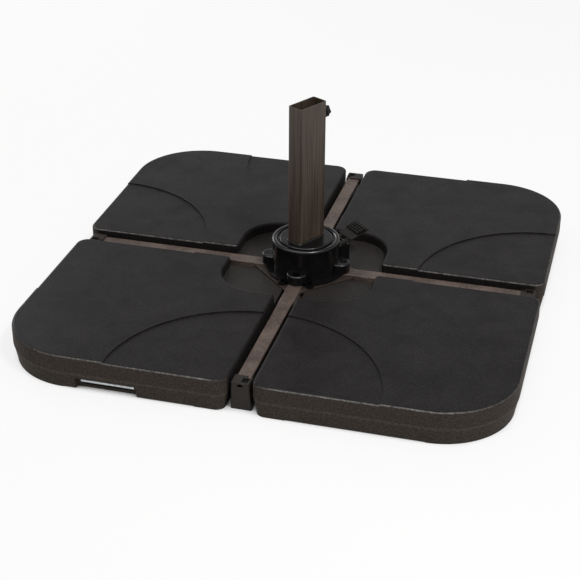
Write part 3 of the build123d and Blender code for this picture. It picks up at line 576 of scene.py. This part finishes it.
def blocks(places, size, taper, bevel, axes):
    """Tapered blocks with bevelled edges, centred at places, in the given axes."""
    built = bmesh.new()
    for place in places:
        corners = [built.verts.new(place + sum(
            (axis * sign * half * (1 - taper * (axes[2] is not axis and up > 0))
             for axis, sign, half in zip(axes, (a, b, up), (s / 2 for s in size))), Vector()))
            for a in (-1, 1) for b in (-1, 1) for up in (-1, 1)]
        for face in ((0, 1, 3, 2), (4, 6, 7, 5), (0, 4, 5, 1), (2, 3, 7, 6), (0, 2, 6, 4),
                     (1, 5, 7, 3)):
            built.faces.new([corners[i] for i in face])
    bmesh.ops.bevel(built, geom=built.edges[:], offset=bevel, segments=2, profile=0.6,
                    affect="EDGES")
    return built


def pedal_tread(rubber, scuff_and_light):
    """Rubber pad of the pedal, with rows of square studs between deep grooves."""
    shape = NODES["pedal_tread"].data
    areas = {}
    for face in shape.polygons:
        if face.normal.z > 0.5:
            key = tuple(round(n, 3) for n in face.normal)
            areas[key] = areas.get(key, 0) + face.area
    out = Vector(max(areas, key=areas.get)).normalized()
    across = Vector((-out.y, out.x, 0)).normalized()
    along = across.cross(out)
    if along.z < 0:
        along, across = -along, -across
    spans = [[v.co.dot(axis) for v in shape.vertices] for axis in (along, across, out)]
    (start, end), (left, right), (low, top) = ((min(s), max(s)) for s in spans)
    end -= TREAD_LIP
    axes = (along, across, out)
    base = blocks([along * (start + end) / 2 + across * (left + right) / 2
                   + out * (low + TREAD_BASE / 2)],
                  (end - start, right - left, TREAD_BASE), 0, 0.0006, axes)
    pad = dress("tread_pad", base, rubber, "foot_pedal")
    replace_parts(pad, "pedal_tread")
    columns, rows = STUD_GRID
    pitch = ((end - start - TREAD_EDGE) / columns, (right - left - TREAD_EDGE) / rows)
    height = top - low - TREAD_BASE + 0.0003
    places = [along * (start + TREAD_EDGE / 2 + pitch[0] * (i + 0.5))
              + across * (left + TREAD_EDGE / 2 + pitch[1] * (j + 0.5))
              + out * (top - height / 2) for i in range(columns) for j in range(rows)]
    studs = blocks(places, (pitch[0] - STUD_GAP, pitch[1] - STUD_GAP, height), 0.12, 0.0004, axes)
    return dress("tread_studs", studs, scuff_and_light, "foot_pedal")


def lock_coil(made):
    """The lock pin's spring, copied as it stands; the real one is pressed together as the pin
    draws out.
    """
    mesh = NODES["lock_spring"].data.copy()
    mesh.materials.clear()
    mesh.materials.append(made)
    coil = put("lock_coil", mesh)
    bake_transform(coil)
    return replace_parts(coil, "lock_spring")


def welled_cap(side, made, dark):
    """End cap with the catch well that is sunk in its top."""
    node = NODES[f"end_cap_{side}"]
    low, high = (Vector(corner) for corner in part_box(node.name))
    middle = (low + high) / 2
    out = Vector((round(middle.x * 2.5), round(middle.y * 2.5), 0))
    beside = Vector((-out.y, out.x, 0))
    end = max(abs(low.dot(out)), abs(high.dot(out)))
    axes = (out, beside, Vector((0, 0, 1)))
    tools = []
    for name, place, size in (
            ("well_tool", out * (end - WELL_BACK) + beside * WELL_ASIDE + axes[2] * high.z,
             (*WELL_SIZE, 2 * WELL_DEPTH)),
            ("slot_tool", out * end + axes[2] * (high.z - SLOT_DOWN), SLOT_SIZE)):
        tool = blocks([place], size, 0, 0.0005, axes)
        mesh = bpy.data.meshes.new(name)
        tool.to_mesh(mesh)
        tool.free()
        mesh.materials.append(dark)
        tools.append(put(name, mesh))
    piece = put(f"welled_{node.name}", node.data.copy())
    piece.data.materials.clear()
    piece.data.materials.append(made)
    # The cut faces of the well and the slot take the near-black finish, as painted shade in the
    # recesses.
    for tool in tools:
        cut = piece.modifiers.new(tool.name, "BOOLEAN")
        cut.operation, cut.object, cut.solver = "DIFFERENCE", tool, "EXACT"
        cut.material_mode = "TRANSFER"
    bpy.context.view_layer.update()
    ready = piece.evaluated_get(bpy.context.evaluated_depsgraph_get())
    carved = bpy.data.meshes.new_from_object(ready)
    piece.modifiers.clear()
    piece.data = carved
    carved.shade_smooth()
    carved.set_sharp_from_angle(angle=math.radians(30))
    for tool in tools:
        bpy.data.objects.remove(tool)
    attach(piece, "base")
    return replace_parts(piece, node.name)


class PARASOL_OT_plates(bpy.types.Operator):
    """Finish the four weight plates, their plugs, cores and carrying handles"""
    bl_idname = "parasol.plates"
    bl_label = "Weight plates"

    def execute(self, context):
        plates, metals, trims = (context.scene.plate_finish, context.scene.metal_finish,
                                 context.scene.trim_finish)
        shell = moulded_polyethylene(plates)
        rod = plated_metal("zinc_plated_rod", metals.zinc, metals.zinc_dull, metals.spangle, 0.32)
        stone = filled_plastic("cast_concrete", trims.concrete, 0.004, 0.85, 0.3, 0.7)
        coat(shell, *(f"plate_shell_{c}" for c in CORNERS), *(f"plate_plug_{c}" for c in CORNERS))
        coat(rod, *(f"plate_handle_{c}" for c in CORNERS))
        coat(stone, *(f"plate_core_{c}" for c in CORNERS))
        return {"FINISHED"}


class PARASOL_OT_cross(bpy.types.Operator):
    """Finish the cross tubes, gussets and end caps"""
    bl_idname = "parasol.cross"
    bl_label = "Cross tubes"

    def execute(self, context):
        metals, trims = context.scene.metal_finish, context.scene.trim_finish
        paint = sprayed_coat("taupe_powder_coat", metals.arm, metals.arm_pale, metals.peel,
                             0.42, 0.3, hub_shade=metals.hub_shade, share=0.35)
        # The gussets take the same coat with more painted shade round the hub.
        shaded_paint = sprayed_coat("shade_painted_powder_coat", metals.arm, metals.arm_pale, metals.peel,
                             0.5, 0.2, hub_shade=metals.hub_shade, share=0.85)
        cap = filled_plastic("moulded_polypropylene_cap", trims.cap, trims.fibre, 0.45, 0.12)
        well_shade = filled_plastic("shade_painted_well", trims.well_shade, trims.fibre, 0.5, 0.1)
        coat(paint, "cross_beam", "arm_front", "arm_back")
        coat(shaded_paint, "gusset_plates")
        for side in SIDES:
            welled_cap(side, cap, well_shade)
        return {"FINISHED"}


class PARASOL_OT_hub(bpy.types.Operator):
    """Finish the hub housing, the turntable, its bearings and its bolts"""
    bl_idname = "parasol.hub"
    bl_label = "Hub and swivel"

    def execute(self, context):
        metals, trims = context.scene.metal_finish, context.scene.trim_finish
        gloss = scaled(metals.hub, 1.6)
        enamel = sprayed_coat("gloss_black_enamel", metals.hub, gloss, metals.peel * 1.5,
                              0.2, 0.35, 0.00003)
        steel = plated_metal("zinc_plated_fastener", metals.zinc, metals.zinc_dull,
                             metals.spangle, 0.3)
        oxide = plated_metal("oxide_blackened_steel", metals.black,
                             scaled(metals.black, 1.6), metals.spangle, 0.35)
        bronze = plated_metal("sintered_bronze", metals.bronze, scaled(metals.bronze, 0.6),
                              metals.spangle * 0.6, 0.45)
        acetal = filled_plastic("acetal_washer", trims.washer, trims.fibre, 0.4, 0.5, 0.9)
        satin = sprayed_coat("satin_black_enamel", metals.hub, gloss, metals.peel * 1.5,
                             0.24, 0.25, 0.00004)
        coat(enamel, "hub_housing")
        hub_bead(enamel)
        turntable_cover(satin)
        mast_collar(enamel)
        coat(satin, "turntable")
        coat(oxide, "housing_bolts", "housing_nuts", "saddle_bolts")
        coat(steel, "spindle", "spindle_nut", "detent_ring", "detent_screws", "pedal_pin",
             "lock_pin", "lock_peg", "mast_bolts", "mast_nuts", "clamp_stud",
             "clamp_nut")
        lock_coil(steel)
        coat(bronze, "lower_bush", "upper_bush")
        coat(acetal, "thrust_washer", "spindle_washer")
        return {"FINISHED"}


class PARASOL_OT_mast(bpy.types.Operator):
    """Finish the mast and its clamping knob"""
    bl_idname = "parasol.mast"
    bl_label = "Mast and knob"

    def execute(self, context):
        metals, trims = context.scene.metal_finish, context.scene.trim_finish
        nylon = filled_plastic("glass_filled_nylon", trims.pedal, trims.fibre, 0.38, 0.1)
        coat(lacquered_tube(metals), "mast_tube")
        coat(nylon, "clamp_knob", "pedal")
        return {"FINISHED"}


class PARASOL_OT_pedal(bpy.types.Operator):
    """Finish the tread of the foot pedal"""
    bl_idname = "parasol.pedal"
    bl_label = "Foot pedal"

    def execute(self, context):
        trims = context.scene.trim_finish
        rubber = filled_plastic("moulded_rubber", trims.tread, trims.fibre, 0.6, 0.03)
        # The studs take a paler rubber than the pad: partly scuffed tops, partly painted light,
        # with the pad's near-black as painted shade in the grooves.
        scuff_and_light = filled_plastic("scuffed_and_lit_rubber", trims.stud, trims.fibre, 0.5, 0.12)
        pedal_tread(rubber, scuff_and_light)
        return {"FINISHED"}


def white_light(tree, shown, lit, mirrored=None):
    """Mixes what the eye and mirrors see with what lights the object."""
    path = add(tree, "ShaderNodeLightPath").outputs
    mirror = add(tree, "ShaderNodeMath", {
        0: path["Is Glossy Ray"], 1: path["Is Transmission Ray"]}, operation="MAXIMUM")
    lit = add(tree, "ShaderNodeMixShader", {
        0: mirror.outputs[0], 1: lit, 2: mirrored or shown}).outputs[0]
    return add(tree, "ShaderNodeMixShader", {
        0: path["Is Camera Ray"], 1: lit, 2: shown}).outputs[0]


class PARASOL_OT_stage(bpy.types.Operator):
    """Lay the floor and set the room light, the softboxes and the camera"""
    bl_idname = "parasol.stage"
    bl_label = "Stage"

    def execute(self, context):
        stage = context.scene.stage_setup
        floor = bpy.data.meshes.new("studio_floor")
        floor.from_pydata([(x * FLOOR_REACH, y * FLOOR_REACH, 0)
                           for x, y in ((-1, -1), (1, -1), (1, 1), (-1, 1))],
                          [], [(0, 1, 2, 3)])
        placed = put("studio_floor", floor)
        paper = bpy.data.materials.new("matt_studio_paper")
        paper.use_nodes = True
        tree = paper.node_tree
        tree.nodes.clear()
        grain = add(tree, "ShaderNodeTexNoise", {
            "Vector": add(tree, "ShaderNodeTexCoord").outputs["Object"], "Scale": PAPER_SCALE,
            "Detail": 2})
        tint = add(tree, "ShaderNodeMix", {
            0: grain.outputs[0], 6: stage.floor, 7: linear("#f7f7f6")}, data_type="RGBA")
        matt = add(tree, "ShaderNodeBsdfDiffuse", {"Color": tint.outputs[2]}).outputs[0]
        # Painted shadow: near the object, ambient occlusion dims the floor's glow.
        open_sky = add(tree, "ShaderNodeAmbientOcclusion", {"Distance": FLOOR_SHADE}, samples=8)
        open_sky.only_local = False
        lifted = add(tree, "ShaderNodeMapRange", {
            "Value": open_sky.outputs["AO"], "From Min": 0.15, "From Max": 0.5})
        glow = add(tree, "ShaderNodeEmission", {
            "Color": (1, 1, 1, 1), "Strength": lifted.outputs[0]}).outputs[0]
        half = add(tree, "ShaderNodeMixShader", {0: 0.8, 1: matt, 2: glow}).outputs[0]
        add(tree, "ShaderNodeOutputMaterial", {"Surface": white_light(tree, half, matt)})
        floor.materials.append(paper)

        world = bpy.data.worlds.new("studio_room")
        context.scene.world = world
        world.use_nodes = True
        tree = world.node_tree
        tree.nodes.clear()
        shown = add(tree, "ShaderNodeBackground", {
            "Color": (1, 1, 1, 1), "Strength": 1.0}).outputs[0]
        lit = add(tree, "ShaderNodeBackground", {
            "Color": (1, 1, 1, 1), "Strength": stage.room}).outputs[0]
        # Mirrors see the white sweep up to a low height, the dimmer ceiling above it, and the
        # overhead softbox in front.
        seen = add(tree, "ShaderNodeSeparateXYZ", {
            0: add(tree, "ShaderNodeTexCoord").outputs["Generated"]})
        height = seen.outputs[2]
        sweep = add(tree, "ShaderNodeMapRange", {
            "Value": height, "From Min": 0.2, "From Max": 0.42, "To Min": 1.0,
            "To Max": stage.ceiling}, interpolation_type="SMOOTHSTEP")
        high = add(tree, "ShaderNodeMapRange", {
            "Value": height, "From Min": 0.66, "From Max": 0.8, "To Max": stage.overhead},
            interpolation_type="SMOOTHSTEP")
        front = add(tree, "ShaderNodeMapRange", {
            "Value": seen.outputs[1], "From Min": 0.15, "From Max": -0.1},
            interpolation_type="SMOOTHSTEP")
        softbox = add(tree, "ShaderNodeMath", {0: high.outputs[0], 1: front.outputs[0],
                                               2: sweep.outputs[0]}, operation="MULTIPLY_ADD")
        mirrored = add(tree, "ShaderNodeBackground", {
            "Color": (1, 1, 1, 1), "Strength": softbox.outputs[0]}).outputs[0]
        add(tree, "ShaderNodeOutputWorld", {
            "Surface": white_light(tree, shown, lit, mirrored)})

        for (name, (spot, aim, sides)), power in zip(LAMPS.items(), (stage.key, stage.rim)):
            lamp = bpy.data.lights.new(name, "AREA")
            lamp.shape, lamp.size, lamp.size_y, lamp.energy = "RECTANGLE", *sides, power
            box = put(name, lamp)
            box.location = spot
            box.rotation_euler = (Vector(aim) - Vector(spot)).to_track_quat("-Z", "Y").to_euler()

        azimuth, elevation, roll = (math.radians(v) for v in CAMERA_ANGLES)
        back = Vector((math.sin(azimuth) * math.cos(elevation),
                       -math.cos(azimuth) * math.cos(elevation), math.sin(elevation)))
        right = Vector((math.cos(azimuth), math.sin(azimuth), 0))
        turn = Matrix.Rotation(roll, 3, back)
        right = turn @ right
        up = back.cross(right)
        lens = bpy.data.cameras.new("studio_camera")
        lens.sensor_width, lens.lens = 36.0, CAMERA_LENS
        lens.clip_start, lens.clip_end = 0.05, 200.0
        eye = put("studio_camera", lens)
        eye.matrix_world = (Matrix.Translation(Vector(CAMERA_AIM) + back * CAMERA_DISTANCE)
                            @ Matrix((right, up, back)).transposed().to_4x4())
        context.scene.camera = eye
        context.scene.view_settings.view_transform = "Standard"
        return {"FINISHED"}


class PARASOL_PT_base(bpy.types.Panel):
    """Lists the steps that dress the parasol base"""
    bl_idname = "PARASOL_PT_base"
    bl_label = "Parasol base"
    bl_space_type = "VIEW_3D"
    bl_region_type = "UI"
    bl_category = "Parasol base"

    def draw(self, context):
        for step in STEPS:
            self.layout.operator(step.bl_idname)
        for group in GROUPS:
            held = getattr(context.scene, group)
            box = self.layout.box()
            for name in GROUPS[group].__annotations__:
                box.prop(held, name)


STEPS = (PARASOL_OT_plates, PARASOL_OT_cross, PARASOL_OT_hub, PARASOL_OT_mast,
         PARASOL_OT_pedal, PARASOL_OT_stage)
GROUPS = {"plate_finish": PlateFinish, "metal_finish": MetalFinish, "trim_finish": TrimFinish,
          "stage_setup": StageSetup}


def register():
    for made in (*GROUPS.values(), *STEPS, PARASOL_PT_base):
        bpy.utils.register_class(made)
    for name, group in GROUPS.items():
        setattr(bpy.types.Scene, name, bpy.props.PointerProperty(type=group))


def unregister():
    for name in GROUPS:
        delattr(bpy.types.Scene, name)
    for made in reversed((*GROUPS.values(), *STEPS, PARASOL_PT_base)):
        bpy.utils.unregister_class(made)


def main():
    register()
    for step in STEPS:
        group, name = step.bl_idname.split(".")
        getattr(getattr(bpy.ops, group), name)()


if __name__ == "__main__":
    main()
